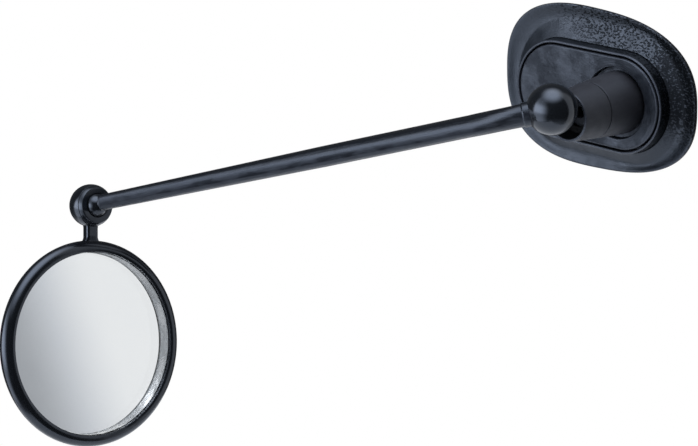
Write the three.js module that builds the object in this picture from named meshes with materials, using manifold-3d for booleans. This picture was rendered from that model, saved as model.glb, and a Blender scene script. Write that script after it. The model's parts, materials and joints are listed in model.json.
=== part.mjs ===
// Stick-on rear-view mirror: a flexible pad with a swivel turret, an arm with a
// ball joint at each end, and a round mirror that hangs from the arm's tip.
//
// Millimetres. The pad's sticky back lies on the plane y = 0 and faces +Y, the
// pad stands out towards -Y, its long way runs along X, and +Z is up. The origin
// is the middle of the sticky back. A height below is a distance out from that
// plane, so it is -y.

import * as THREE from 'three';
import { mergeVertices } from 'three/addons/utils/BufferGeometryUtils.js';
import Module from 'manifold-3d';

const wasm = await Module();
wasm.setup();

// Fineness of round faces
const roundSteps = 32;
const ballSteps = 26;
const showingBallSteps = 40;
const arcSteps = 6;
const linerSteps = 10;
const tipSteps = 12;
const padSteps = 56;
const weldDistance = 1e-5;

// Clearances
const runningGap = 0.1;
const seatGap = 0.2;
const cutOverrun = 1;

// Tape and flexible pad
const tapeThickness = 0.6;
const tapeInset = 4.4;
const padLength = 60.6;
const padHeight = 41;
const padSquareness = 2.6;
const padTaper = 0.07;
const padSlant = -0.045;
const padAside = 0.35;
const padRaised = 1.2;
const padFloor = 1;
const padFlange = 1.4;
const padEdge = 1.1;
const padLift = 1.1;
const padLiftInset = 4.5;
const padEdgeRound = 0.35;
const padRise = 1.4;
const padRiseWidth = 3;
const collarLip = 0.6;
const collarDraft = 0.1;
const creaseWidth = 0.25;
const creaseDepth = 0.5;
const plateGroove = 0.5;

// Base plate
const plateLength = 44;
const plateWidth = 23.2;
const plateThickness = 5;
const plateEdgeRound = 0.4;
const plateWeb = 1.4;
const turretOffset = 8.9;
const recessRadius = 9.1;
const recessDepth = 1.8;
const clipPocketRadius = 7.6;
const pocketWall = 3;
const pocketRoof = 2;

// Turret
const turretHeight = 25.4;
const turretFootRadius = 7.95;
const turretMouthRadius = 6.25;
const turretSeamHeight = 16.6;
const turretWall = 0.65;
const mouthBevel = 0.4;
const mouthDepth = 4.1;
const mouthTaper = 0.9;
const journalRadius = 5;
const coreRadius = 3;
const turretWeb = 2.3;
const spigotRadius = 5;
const spigotHeight = 2.2;
const shoulderThickness = 0.9;
const shoulderHoleRadius = 3.2;

// Clip and spring washer that hold the turret in the plate
const clipThickness = 0.7;
const clipGrooveDepth = 0.9;
const clipWidth = 2.2;
const clipOpening = 5.6;
const washerThickness = 0.3;
const washerWidth = 1.5;
const washerWave = 0.12;
const washerWaves = 3;

// Ball stud
const studFlangeRadius = 4.7;
const studFlangeThickness = 1.2;
const studPegRadius = 1.8;
const studPegLength = 3.4;
const studNeckRadius = 1.4;
const studBallRadius = 3.2;
const studBallProud = 5.8;
const studBallAside = 0.35;
const studBallRise = 3.03;

// Socket liner and the ball end of the arm
const linerWall = 0.75;
const linerMouthAngle = 50;
const armBallRadius = 6.3;
const armBallMouthAngle = 41;
const armBallLipAngle = 48;

// Arm, from the middle of the ball end to the blunt end of the rod. Its radii are half its
// thickness, and a breadth share times one is half its breadth
const armLength = 112.4;
const armOutAngle = 43.82;
const armDropAngle = 12.56;
const armPegRadius = 1.8;
const armPegLength = 1.5;
const armCollarRadius = 3.05;
const armCollarLength = 0.7;
const armRootRadius = 2.83;
const armBladeRadius = 2.45;
const armBladeStart = 20;
const armMiddleRadius = 2.43;
const armMiddleShare = 0.5;
const armNeedleRadius = 2.14;
const armNeedleShare = 0.8;
const armTipRadius = 1.93;
const armEndRound = 0.25;
const armBladeBreadthShare = 1.95;
const armTipBreadthShare = 1.12;

// Tip ball, which a short neck holds beside the blunt end of the rod
const tipBallRadius = 2.95;
const tipBallAhead = 1.75;
const tipBallOut = 2.83;
const tipBallDown = 1.17;
const tipNeckRadius = 1.35;
const tipNeckStart = 1.7;

// Socket at the mirror end
const housingRadius = 5.3;
const housingBallOffset = 2.2;
const housingFaceHeight = 0.77;
const capThickness = 0.95;
const seatWall = 0.6;
const seatEdgeAngle = 115;
const plugRadius = 1.85;
const plugLength = 2;

// Mirror head
const mirrorRadius = 25.4;
const mirrorDrop = 34;
const rimRadius = 2.1;
const rimLipAngle = 20;
const glassRecess = 0.9;
const glassThickness = 3;
const glassTapeThickness = 0.4;
const glassTapeInset = 1.5;
const shellFloor = 1;
const shellBackInset = 4.8;
const stemWidth = 3.2;
const stemThickness = 2.15;
const stemForward = -0.17;
const stemFootWidth = 3.9;
const stemFootHeight = 0.5;
const stemSink = 1.4;
const headTurnAngle = -2.9;
const headTiltAngle = 14.8;
const headRollAngle = -12.54;

// Heights out from the sticky back
const padFloorTop = tapeThickness + padFloor;
const flangeTop = tapeThickness + padFlange;
const plateTop = padFloorTop + plateThickness;
const recessFloor = plateTop - recessDepth;
const webBottom = recessFloor - plateWeb;
const turretFoot = recessFloor + seatGap;
const washerTop = webBottom - seatGap;
const clipTop = washerTop - washerThickness - washerWave * 2 - seatGap;
const clipBottom = clipTop - clipThickness;
const journalEnd = padFloorTop + seatGap / 2;
const spigotTop = turretSeamHeight + spigotHeight;
const studFlangeBottom = spigotTop + runningGap;
const studFlangeTop = studFlangeBottom + studFlangeThickness;
const shoulderBottom = studFlangeTop + seatGap;
const shoulderTop = shoulderBottom + shoulderThickness;
const mouthFloor = Math.max(shoulderTop, turretHeight - mouthDepth);
const studBallHeight = turretHeight + studBallProud;

// Sizes that follow a neighbour
const plateEndRadius = plateWidth / 2;
const plateHalfStraight = (plateLength - plateWidth) / 2;
const linerInnerRadius = studBallRadius + runningGap;
const linerOuterRadius = linerInnerRadius + linerWall;
const armPocketRadius = linerOuterRadius + runningGap;
const tipSocketRadius = tipBallRadius + runningGap / 2;
const seatInnerRadius = tipBallRadius + runningGap;
const seatOuterRadius = seatInnerRadius + seatWall;
const seatCavityRadius = seatOuterRadius + runningGap;
const degree = Math.PI / 180;
const rimMiddleRadius = mirrorRadius - rimRadius;
const glassPocketRadius = rimMiddleRadius - rimRadius * Math.sin(rimLipAngle * degree);
const glassRadius = glassPocketRadius - runningGap;
const glassFront = rimRadius * Math.cos(rimLipAngle * degree) - glassRecess;
const glassTapeFront = glassFront - glassThickness - seatGap / 2;
const shellFloorFront = glassTapeFront - glassTapeThickness - seatGap / 2;
const shellBack = shellFloorFront - shellFloor;

// Materials
const finish = (color, roughness) => new THREE.MeshStandardMaterial({ color, roughness, metalness: 0 });
const padMaterial = finish(0x1b1d21, 0.45);
const tapeMaterial = finish(0x2a2a2c, 0.95);
const plateMaterial = finish(0x24262b, 0.4);
const turretMaterial = finish(0x26262a, 0.6);
const glossMaterial = finish(0x141619, 0.2);
const nylonMaterial = finish(0x2c2c2c, 0.5);
const rubberMaterial = finish(0x1a1a1a, 0.8);
const steelMaterial = new THREE.MeshStandardMaterial({ color: 0xa8abb0, roughness: 0.35, metalness: 1 });
const mirrorMaterial = new THREE.MeshStandardMaterial({ color: 0xe4e8ee, roughness: 0.03, metalness: 1 });

// Turns a closed geometry into a solid whose faces point out
function solid(geometry) {
  const bare = geometry.clone();
  bare.deleteAttribute('normal');
  bare.deleteAttribute('uv');
  const welded = mergeVertices(bare, weldDistance);
  const corners = welded.index.array;
  const faces = [];
  for (let i = 0; i < corners.length; i += 3) {
    const [a, b, c] = [corners[i], corners[i + 1], corners[i + 2]];
    if (a !== b && b !== c && c !== a) {
      faces.push(a, b, c);
    }
  }
  const vertProperties = new Float32Array(welded.attributes.position.array);
  const outward = new wasm.Manifold(new wasm.Mesh({ numProp: 3, vertProperties, triVerts: new Uint32Array(faces) }));
  if (outward.volume() > 0) {
    return outward;
  }
  const turned = [];
  for (let i = 0; i < faces.length; i += 3) {
    turned.push(faces[i], faces[i + 2], faces[i + 1]);
  }
  return new wasm.Manifold(new wasm.Mesh({ numProp: 3, vertProperties, triVerts: new Uint32Array(turned) }));
}

// Gives a solid back as a named mesh
function piece(name, body, material) {
  const { vertProperties, triVerts } = body.getMesh();
  const geometry = new THREE.BufferGeometry();
  geometry.setAttribute('position', new THREE.BufferAttribute(new Float32Array(vertProperties), 3));
  geometry.setIndex(new THREE.BufferAttribute(new Uint32Array(triVerts), 1));
  geometry.computeVertexNormals();
  const mesh = new THREE.Mesh(geometry, material);
  mesh.name = name;
  return mesh;
}

// A body turned about Y from points [radius, height], with the height towards -Y
function turnedOut(points, steps = roundSteps) {
  return solid(new THREE.LatheGeometry(points.map(([r, h]) => new THREE.Vector2(r, -h)), steps));
}

// A body turned about X from points [radius, x]
function turnedAlong(points, steps = roundSteps) {
  const lathe = new THREE.LatheGeometry(points.map(([r, x]) => new THREE.Vector2(r, x)), steps);
  return solid(lathe.rotateZ(-Math.PI / 2));
}

// Points [radius, x] of an arc about a point on the axis or off it, angles in degrees from +X
function arc(radius, from, to, steps, middleRadius = 0, middleX = 0) {
  const points = [];
  for (let i = 0; i <= steps; i += 1) {
    const angle = (from + (to - from) * i / steps) * degree;
    const r = middleRadius + radius * Math.sin(angle);
    points.push([Math.max(0, Math.abs(r) < weldDistance ? 0 : r), middleX + radius * Math.cos(angle)]);
  }
  return points;
}

function ball(radius, steps = ballSteps) {
  return turnedAlong(arc(radius, 0, 180, steps / 2), steps);
}

// A closed profile ends where it starts
const closed = (points) => [...points, points[0]];

// The turret's outer radius at a height
function coneRadius(height) {
  const rise = (height - plateTop) / (turretHeight - plateTop);
  return turretFootRadius + (turretMouthRadius - turretFootRadius) * Math.max(0, rise);
}

// Outlines in the X-Z plane
function stadiumPoints(growth, count) {
  const radius = plateEndRadius + growth;
  const shape = new THREE.Path();
  shape.moveTo(plateHalfStraight + radius, 0);
  shape.absarc(plateHalfStraight, 0, radius, 0, Math.PI / 2, false);
  shape.lineTo(-plateHalfStraight, radius);
  shape.absarc(-plateHalfStraight, 0, radius, Math.PI / 2, Math.PI * 3 / 2, false);
  shape.lineTo(plateHalfStraight, -radius);
  shape.absarc(plateHalfStraight, 0, radius, Math.PI * 3 / 2, Math.PI * 2, false);
  return shape.getSpacedPoints(count).slice(0, count);
}

// The oval is a little higher at its far end than at the turret's end
class Oval extends THREE.Curve {
  constructor(inset) {
    super();
    this.halfLength = padLength / 2 - inset;
    this.halfHeight = padHeight / 2 - inset;
  }

  getPoint(t, target = new THREE.Vector2()) {
    const angle = t * Math.PI * 2;
    const [c, s] = [Math.cos(angle), Math.sin(angle)];
    const power = 2 / padSquareness;
    const along = Math.sign(c) * Math.abs(c) ** power;
    const z = Math.sign(s) * Math.abs(s) ** power * this.halfHeight * (1 - padTaper * along);
    return target.set(along * this.halfLength + padSlant * z, z);
  }
}

function ovalPoints(inset, count) {
  return new Oval(inset).getSpacedPoints(count).slice(0, count);
}

// A solid skinned over rings [outline, height], closed by a fan at each end
function skinned(rings) {
  const count = rings[0].outline.length;
  const positions = [];
  const faces = [];
  for (const { outline, height } of rings) {
    for (const point of outline) {
      positions.push(point.x, -height, point.y);
    }
  }
  for (let row = 0; row + 1 < rings.length; row += 1) {
    for (let i = 0; i < count; i += 1) {
      const next = (i + 1) % count;
      const [a, b] = [row * count + i, row * count + next];
      const [c, d] = [a + count, b + count];
      faces.push(a, b, d, a, d, c);
    }
  }
  const ends = [{ row: 0, height: rings[0].height }, { row: rings.length - 1, height: rings.at(-1).height }];
  ends.forEach(({ row, height }, side) => {
    const middle = positions.length / 3;
    positions.push(0, -height, 0);
    for (let i = 0; i < count; i += 1) {
      const [a, b] = [row * count + i, row * count + (i + 1) % count];
      faces.push(...(side === 0 ? [middle, b, a] : [middle, a, b]));
    }
  });
  const geometry = new THREE.BufferGeometry();
  geometry.setAttribute('position', new THREE.Float32BufferAttribute(positions, 3));
  geometry.setIndex(faces);
  return solid(geometry);
}

// Foam tape on the back of the pad
function foamTape() {
  const outline = ovalPoints(tapeInset, padSteps);
  const shape = new THREE.Shape(outline.map((point) => new THREE.Vector2(point.x, point.y)));
  const slab = new THREE.ExtrudeGeometry(shape, { depth: tapeThickness, bevelEnabled: false });
  return solid(slab.rotateX(Math.PI / 2));
}

// Flexible pad: an oval flange that lifts at its edge and rises to a collar round the plate
function flexiblePad() {
  const blend = (from, to, share) => from.map((point, i) => point.clone().lerp(to[i], share));
  const middle = new THREE.Vector2(padAside, padRaised);
  const oval = (inset) => ovalPoints(inset, padSteps).map((point) => point.add(middle));
  const edge = oval(0);
  const softEdge = oval(padEdgeRound);
  const liftLine = oval(padLiftInset);
  const lipOutside = stadiumPoints(plateGroove + collarLip, padSteps);
  const lipInside = stadiumPoints(plateGroove, padSteps);
  const wallFoot = stadiumPoints(plateGroove + collarLip + collarDraft, padSteps);
  const riseTopGrowth = plateGroove + collarLip + collarDraft + creaseWidth;
  const riseTop = stadiumPoints(riseTopGrowth, padSteps);
  const riseMiddle = stadiumPoints(riseTopGrowth + padRiseWidth / 2, padSteps);
  const riseFoot = stadiumPoints(riseTopGrowth + padRiseWidth, padSteps);
  const lipSoft = stadiumPoints(plateGroove + collarLip / 2, padSteps);
  const liftStartShare = 0.3;
  const liftStart = blend(riseFoot, edge, liftStartShare);
  const riseMiddleShare = 0.3;
  const riseHeight = flangeTop + padRise;
  const edgeBottom = tapeThickness + padLift;
  return skinned([
    { outline: liftLine, height: tapeThickness },
    { outline: softEdge, height: edgeBottom },
    { outline: edge, height: edgeBottom + padEdgeRound },
    { outline: edge, height: edgeBottom + padEdge - padEdgeRound },
    { outline: softEdge, height: edgeBottom + padEdge },
    { outline: liftStart, height: flangeTop },
    { outline: riseFoot, height: flangeTop },
    { outline: riseMiddle, height: flangeTop + padRise * riseMiddleShare },
    { outline: riseTop, height: riseHeight },
    { outline: wallFoot, height: riseHeight - creaseDepth },
    { outline: lipOutside, height: plateTop - plateEdgeRound },
    { outline: lipSoft, height: plateTop },
    { outline: lipInside, height: plateTop - plateEdgeRound },
    { outline: lipInside, height: padFloorTop },
  ]);
}

// Hard plate with a sunken ring for the turret and hollows in its back
function basePlate() {
  const soft = stadiumPoints(-plateEdgeRound, padSteps);
  const full = stadiumPoints(0, padSteps);
  const slab = skinned([
    { outline: full, height: padFloorTop },
    { outline: full, height: plateTop - plateEdgeRound },
    { outline: soft, height: plateTop },
  ]);
  const below = padFloorTop - cutOverrun;
  const above = plateTop + cutOverrun;
  const bore = [[0, below], [journalRadius + runningGap, below], [journalRadius + runningGap, above], [0, above]];
  const recess = [[0, recessFloor], [recessRadius, recessFloor], [recessRadius, above], [0, above]];
  const clipPocket = [[0, below], [clipPocketRadius, below], [clipPocketRadius, webBottom], [0, webBottom]];
  const farRadius = plateEndRadius - pocketWall;
  const farRoof = plateTop - pocketRoof;
  const farPocket = [[0, below], [farRadius, below], [farRadius, farRoof], [0, farRoof]];
  const turretCuts = turnedOut(bore).add(turnedOut(recess)).add(turnedOut(clipPocket));
  return slab
    .subtract(turretCuts.translate([turretOffset, 0, 0]))
    .subtract(turnedOut(farPocket).translate([-plateHalfStraight, 0, 0]));
}

// Snap clip in the journal's groove, open on one side
function swivelClip() {
  const inner = journalRadius - clipGrooveDepth + seatGap / 2;
  const outer = inner + clipWidth;
  const ring = turnedOut(closed([[inner, clipBottom], [outer, clipBottom], [outer, clipTop], [inner, clipTop]]));
  const slot = new THREE.BoxGeometry(clipOpening, clipThickness + cutOverrun, outer + cutOverrun);
  slot.translate(0, -(clipBottom + clipTop) / 2, -(outer + cutOverrun) / 2);
  return ring.subtract(solid(slot));
}

// Spring washer with waves round its ring
function springWasher() {
  const inner = journalRadius + seatGap;
  const outer = inner + washerWidth;
  const top = washerTop - washerWave;
  const bottom = top - washerThickness;
  const ring = new THREE.LatheGeometry(
    closed([[inner, bottom], [outer, bottom], [outer, top], [inner, top]]).map(([r, h]) => new THREE.Vector2(r, -h)),
    roundSteps,
  );
  const place = ring.attributes.position;
  for (let i = 0; i < place.count; i += 1) {
    const angle = Math.atan2(place.getZ(i), place.getX(i));
    place.setY(i, place.getY(i) + washerWave * Math.cos(washerWaves * angle));
  }
  return solid(ring);
}

// Rear part of the turret, whose journal turns in the plate
function turretDrum() {
  const pegHole = studPegRadius + seatGap / 2;
  const coreTop = turretSeamHeight - turretWeb;
  const grooveRadius = journalRadius - clipGrooveDepth;
  const grooveBottom = clipBottom - runningGap;
  const grooveTop = clipTop + runningGap;
  const top = turretSeamHeight - seatGap;
  return turnedOut(closed([
    [coreRadius, journalEnd],
    [journalRadius, journalEnd],
    [journalRadius, grooveBottom],
    [grooveRadius, grooveBottom],
    [grooveRadius, grooveTop],
    [journalRadius, grooveTop],
    [journalRadius, turretFoot],
    [turretFootRadius, turretFoot],
    [turretFootRadius, plateTop],
    [coneRadius(top), top],
    [spigotRadius, top],
    [spigotRadius, spigotTop],
    [pegHole, spigotTop],
    [pegHole, coreTop],
    [coreRadius, coreTop],
  ]));
}

// Front sleeve of the turret, with the open mouth
function turretSleeve() {
  const bore = spigotRadius + seatGap / 2;
  const mouthRadius = turretMouthRadius - turretWall;
  const mouthFloorRadius = mouthRadius - mouthTaper;
  return turnedOut(closed([
    [bore, turretSeamHeight],
    [coneRadius(turretSeamHeight), turretSeamHeight],
    [turretMouthRadius, turretHeight - mouthBevel / 2],
    [turretMouthRadius - mouthBevel / 2, turretHeight],
    [mouthRadius + mouthBevel / 2, turretHeight],
    [mouthRadius, turretHeight - mouthBevel],
    [mouthFloorRadius, mouthFloor],
    [shoulderHoleRadius, shoulderTop],
    [shoulderHoleRadius, shoulderBottom],
    [bore, shoulderBottom],
  ]));
}

// The stud leans up from its foot on the turret's axis to its ball
const studFootMiddle = new THREE.Vector3(0, -(studFlangeBottom + studFlangeTop) / 2, 0);
const studBallMiddle = new THREE.Vector3(studBallAside, -studBallHeight, studBallRise);
const studLine = studFootMiddle.clone().sub(studBallMiddle);

// A body made along +X is laid along a direction
function laidAlong(body, direction) {
  const turn = new THREE.Quaternion().setFromUnitVectors(new THREE.Vector3(1, 0, 0), direction.clone().normalize());
  const matrix = new THREE.Matrix4().makeRotationFromQuaternion(turn);
  return body.transform(matrix.elements);
}

function ballStud() {
  const pegEnd = studFlangeBottom - studPegLength;
  const foot = turnedOut([
    [0, pegEnd],
    [studPegRadius, pegEnd],
    [studPegRadius, studFlangeBottom],
    [studFlangeRadius, studFlangeBottom],
    [studFlangeRadius, studFlangeTop],
    [0, studFlangeTop],
  ]);
  const reach = studLine.length();
  const neck = turnedAlong([[0, 0], [studNeckRadius, 0], [studNeckRadius, reach], [0, reach]], roundSteps / 2);
  const top = laidAlong(neck.add(ball(studBallRadius, roundSteps)), studLine);
  return foot.add(top.translate(studBallMiddle.toArray()));
}

// Bearing liner between the stud's ball and the arm's ball end, open towards the stud
function socketLiner() {
  const inside = arc(linerInnerRadius, linerMouthAngle, 180, linerSteps);
  const outside = arc(linerOuterRadius, 180, linerMouthAngle, linerSteps);
  return laidAlong(turnedAlong(closed([...inside, ...outside]), roundSteps), studLine);
}

// Direction of the arm from its ball end
const armTurn = new THREE.Euler(0, armDropAngle * degree, Math.PI + armOutAngle * degree, 'ZYX');
const armLine = new THREE.Vector3(1, 0, 0).applyEuler(armTurn);
const armBallPlace = new THREE.Vector3(turretOffset, 0, 0).add(studBallMiddle);
const tipBallMiddle = new THREE.Vector3(armLength + tipBallAhead, -tipBallOut, -tipBallDown);
const tipBallPlace = tipBallMiddle.clone().applyEuler(armTurn).add(armBallPlace);
const pegStart = armBallRadius - armPegLength;

// Ball end of the arm, hollow for the liner, with a bore for the arm's peg
function armBall() {
  const lip = arc(armPocketRadius, armBallLipAngle, armBallLipAngle, 1)[0];
  const rim = arc(armBallRadius, armBallMouthAngle, armBallMouthAngle, 1)[0];
  const flare = (rim[0] - lip[0]) / (rim[1] - lip[1]);
  const outside = armBallRadius + cutOverrun;
  const mouth = turnedAlong([[0, 0], [lip[0], 0], lip, [lip[0] + flare * (outside - lip[1]), outside], [0, outside]]);
  const pocket = ball(armPocketRadius);
  const boreRadius = armPegRadius + seatGap / 2;
  const boreStart = pegStart - seatGap;
  const boreEnd = armBallRadius + cutOverrun;
  const bore = turnedAlong([[0, boreStart], [boreRadius, boreStart], [boreRadius, boreEnd], [0, boreEnd]]);
  return ball(armBallRadius, showingBallSteps)
    .subtract(laidAlong(mouth, studLine))
    .subtract(laidAlong(pocket, studLine))
    .subtract(laidAlong(bore, armLine));
}

// Arm: round at its collar, then a flat oval that tapers to a blunt end, with a ball on a side neck
function armRod() {
  const collarStart = pegStart + armPegLength / 2;
  const collarEnd = armBallRadius + armCollarLength;
  const round = turnedAlong([
    [0, collarStart],
    [armCollarRadius, collarStart],
    [armCollarRadius, collarEnd],
    [armRootRadius, collarEnd + (armCollarRadius - armRootRadius)],
    [armBladeRadius, armBladeStart],
    [armMiddleRadius, armLength * armMiddleShare],
    [armNeedleRadius, armLength * armNeedleShare],
    [armTipRadius, armLength - armEndRound],
    [armTipRadius - armEndRound, armLength],
    [0, armLength],
  ], roundSteps);
  const body = round.warp((point) => {
    const opening = Math.min(1, Math.max(0, (point[0] - collarEnd) / (armBladeStart - collarEnd)));
    const closing = Math.max(0, (point[0] - armBladeStart) / (armLength - armBladeStart));
    const blade = 1 + (armBladeBreadthShare - 1) * opening;
    point[1] *= blade + (armTipBreadthShare - armBladeBreadthShare) * closing;
  });
  const peg = turnedAlong([[0, pegStart], [armPegRadius, pegStart], [armPegRadius, collarEnd], [0, collarEnd]]);
  const neckLine = new THREE.Vector3(armLength - tipNeckStart, 0, 0).sub(tipBallMiddle);
  const reach = neckLine.length();
  const neck = turnedAlong([[0, 0], [tipNeckRadius, 0], [tipNeckRadius, reach], [0, reach]], roundSteps / 2);
  const tip = laidAlong(neck.add(ball(tipBallRadius, tipSteps * 2)), neckLine);
  return body
    .subtract(ball(armBallRadius + seatGap))
    .add(peg)
    .add(tip.translate(tipBallMiddle.toArray()));
}

// Seat cup behind the tip ball, and the soft plug that presses on it
function seatCup() {
  const inside = arc(seatInnerRadius, seatEdgeAngle, 180, arcSteps);
  const outside = arc(seatOuterRadius, 180, seatEdgeAngle, arcSteps);
  return turnedAlong(closed([...inside, ...outside]));
}

function pressurePlug() {
  const back = -seatCavityRadius - plugLength;
  const front = 0;
  const rod = turnedAlong([[0, back], [plugRadius, back], [plugRadius, front], [0, front]]);
  return rod.subtract(ball(seatCavityRadius));
}

// Front cap of the socket, whose lip holds the tip ball
function socketCap() {
  const bottom = housingFaceHeight - capThickness;
  const zoneAngle = (x) => Math.acos((x + housingBallOffset) / housingRadius) / degree;
  const zone = arc(housingRadius, zoneAngle(housingFaceHeight), zoneAngle(bottom), arcSteps / 2, 0, -housingBallOffset);
  const disc = turnedAlong([[0, housingFaceHeight], ...zone, [0, bottom]]);
  return disc.subtract(ball(tipSocketRadius));
}

// Mirror shell: dish with a round rim, stem and socket housing in one moulding
function mirrorShell() {
  const backEdge = mirrorRadius - shellBackInset;
  const backCurve = new THREE.CubicBezierCurve(
    new THREE.Vector2(mirrorRadius, 0),
    new THREE.Vector2(mirrorRadius, shellBack / 2),
    new THREE.Vector2(rimMiddleRadius, shellBack),
    new THREE.Vector2(backEdge, shellBack),
  );
  const rim = arc(rimRadius, -rimLipAngle, 90, arcSteps, rimMiddleRadius, 0);
  const dish = turnedAlong([
    [0, shellFloorFront],
    [glassPocketRadius, shellFloorFront],
    ...rim,
    ...backCurve.getPoints(arcSteps).slice(1).map((point) => [point.x, point.y]),
    [0, shellBack],
  ], padSteps);
  const rimTop = mirrorDrop - mirrorRadius;
  const stemTop = housingRadius - stemSink;
  const stemLength = rimTop + stemSink - stemTop;
  const stem = new THREE.BoxGeometry(stemThickness, stemWidth, stemLength);
  stem.translate(stemForward, 0, -stemTop - stemLength / 2);
  const foot = new THREE.BoxGeometry(stemThickness, stemFootWidth, stemFootHeight + stemSink);
  foot.translate(stemForward, 0, -rimTop + (stemFootHeight - stemSink) / 2);
  const outer = ball(housingRadius)
    .add(solid(stem))
    .add(solid(foot))
    .add(dish.translate([0, 0, -mirrorDrop]))
    .translate([-housingBallOffset, 0, 0]);
  const faceCut = housingFaceHeight - capThickness - seatGap / 2;
  const cutEnd = faceCut + housingRadius;
  const face = turnedAlong([[0, faceCut], [housingRadius, faceCut], [housingRadius, cutEnd], [0, cutEnd]]);
  const plugBack = -seatCavityRadius - plugLength - seatGap / 2;
  const plugBoreRadius = plugRadius + seatGap / 2;
  const plugBore = turnedAlong([[0, plugBack], [plugBoreRadius, plugBack], [plugBoreRadius, 0], [0, 0]]);
  return outer.subtract(face).subtract(ball(seatCavityRadius)).subtract(plugBore);
}

// Discs in the mirror's dish, from the front face back
function disc(radius, front, thickness) {
  return turnedAlong([[0, front], [radius, front], [radius, front - thickness], [0, front - thickness]], padSteps)
    .translate([-housingBallOffset, 0, -mirrorDrop]);
}

const base = new THREE.Group();
base.add(
  piece('foam_tape', foamTape(), tapeMaterial),
  piece('flexible_pad', flexiblePad(), padMaterial),
  piece('base_plate', basePlate(), plateMaterial),
);

const turret = new THREE.Group();
turret.position.x = turretOffset;
turret.add(
  piece('swivel_clip', swivelClip(), steelMaterial),
  piece('spring_washer', springWasher(), steelMaterial),
  piece('turret_drum', turretDrum(), turretMaterial),
  piece('turret_sleeve', turretSleeve(), turretMaterial),
  piece('ball_stud', ballStud(), nylonMaterial),
);

const ballEnd = new THREE.Group();
ballEnd.position.copy(armBallPlace);
const arm = new THREE.Group();
arm.rotation.copy(armTurn);
arm.add(piece('arm_rod', armRod(), glossMaterial));
ballEnd.add(
  piece('socket_liner', socketLiner(), nylonMaterial),
  piece('arm_ball', armBall(), glossMaterial),
  arm,
);

const head = new THREE.Group();
head.position.copy(tipBallPlace);
head.rotation.set(headRollAngle * degree, -headTiltAngle * degree, headTurnAngle * degree, 'ZYX');
head.add(
  piece('seat_cup', seatCup(), nylonMaterial),
  piece('pressure_plug', pressurePlug(), rubberMaterial),
  piece('socket_cap', socketCap(), glossMaterial),
  piece('mirror_shell', mirrorShell(), glossMaterial),
  piece('glass_tape', disc(glassRadius - glassTapeInset, glassTapeFront, glassTapeThickness), tapeMaterial),
  piece('mirror_glass', disc(glassRadius, glassFront, glassThickness), mirrorMaterial),
);

const mirror = new THREE.Group();
mirror.add(base, turret, ballEnd, head);

export default mirror;
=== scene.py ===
"""Looks of a stick-on rear-view mirror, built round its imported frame. Metres, +Z up."""

import json
import math

import bmesh
import bpy
import numpy as np
from mathutils import Matrix, Vector


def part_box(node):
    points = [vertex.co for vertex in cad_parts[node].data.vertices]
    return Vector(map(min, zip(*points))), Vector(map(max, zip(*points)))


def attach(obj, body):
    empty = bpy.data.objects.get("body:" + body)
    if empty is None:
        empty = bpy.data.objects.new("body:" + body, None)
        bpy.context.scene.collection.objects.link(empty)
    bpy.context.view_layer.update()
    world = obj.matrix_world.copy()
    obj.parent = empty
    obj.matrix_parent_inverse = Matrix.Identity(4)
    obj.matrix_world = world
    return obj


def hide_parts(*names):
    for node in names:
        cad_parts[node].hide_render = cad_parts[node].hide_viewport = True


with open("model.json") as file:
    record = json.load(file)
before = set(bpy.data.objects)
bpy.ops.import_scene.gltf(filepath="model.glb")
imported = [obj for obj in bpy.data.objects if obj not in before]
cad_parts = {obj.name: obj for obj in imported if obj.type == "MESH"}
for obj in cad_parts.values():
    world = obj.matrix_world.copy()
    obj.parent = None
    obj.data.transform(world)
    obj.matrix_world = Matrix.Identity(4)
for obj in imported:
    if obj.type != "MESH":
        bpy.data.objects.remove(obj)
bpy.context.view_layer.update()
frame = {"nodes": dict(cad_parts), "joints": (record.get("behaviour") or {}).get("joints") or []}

# The photo's camera
PHOTO_WIDTH = 698
FOCAL_PIXELS = 2055
SENSOR_WIDTH = 36
CAMERA_AZIMUTH = 45.4
CAMERA_ELEVATION = 17.9
CAMERA_DISTANCE = 0.6
LOOK_AT = Vector((-0.0917, 0, -0.0559))

# Fineness of the meshes
TURNS = 192
BALL_TURNS = 160
ROD_TURNS = 96
STEM_TURNS = 48
SKIN_STEPS = 288
OUTLINE_STEPS = 4000
CORNER_STEPS = 6
CORNER_REACH_SHARE = 0.49
ROW_LENGTH = 0.0006
SHARP_ANGLE = 40
GLASS_SHARP_ANGLE = 20
FACE_COSINE = 0.9
MERGE_DISTANCE = 1e-7
TINY = 1e-9
HAIR = 0.00001
PAD_ROWS = {
    "back": 5, "skirt": 10, "edge": 8, "flange": 28, "rise": 12, "wall": 8, "bead": 10, "seat": 5,
}
PLATE_ROWS = {
    "bore": 4, "recess": 6, "corner": 4, "lip": 5, "face": 59, "edge": 6, "side": 6, "back": 5, "pocket": 3,
}
TAPE_ROWS = {"face": 6, "side": 7}
STUD_ROWS = 40
LINER_ROWS = {"inner": 30, "outer": 34}
BALL_ROWS = {"outer": 90, "inner": 60}
ROD_ROWS = {"seat": 12, "tip": 44}
CAP_ROWS = {"inner": 6, "outer": 9}
SHELL_ROWS = {"zone": 60, "cavity": 30, "rim": 30, "behind": 30, "stem": 30}

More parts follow.
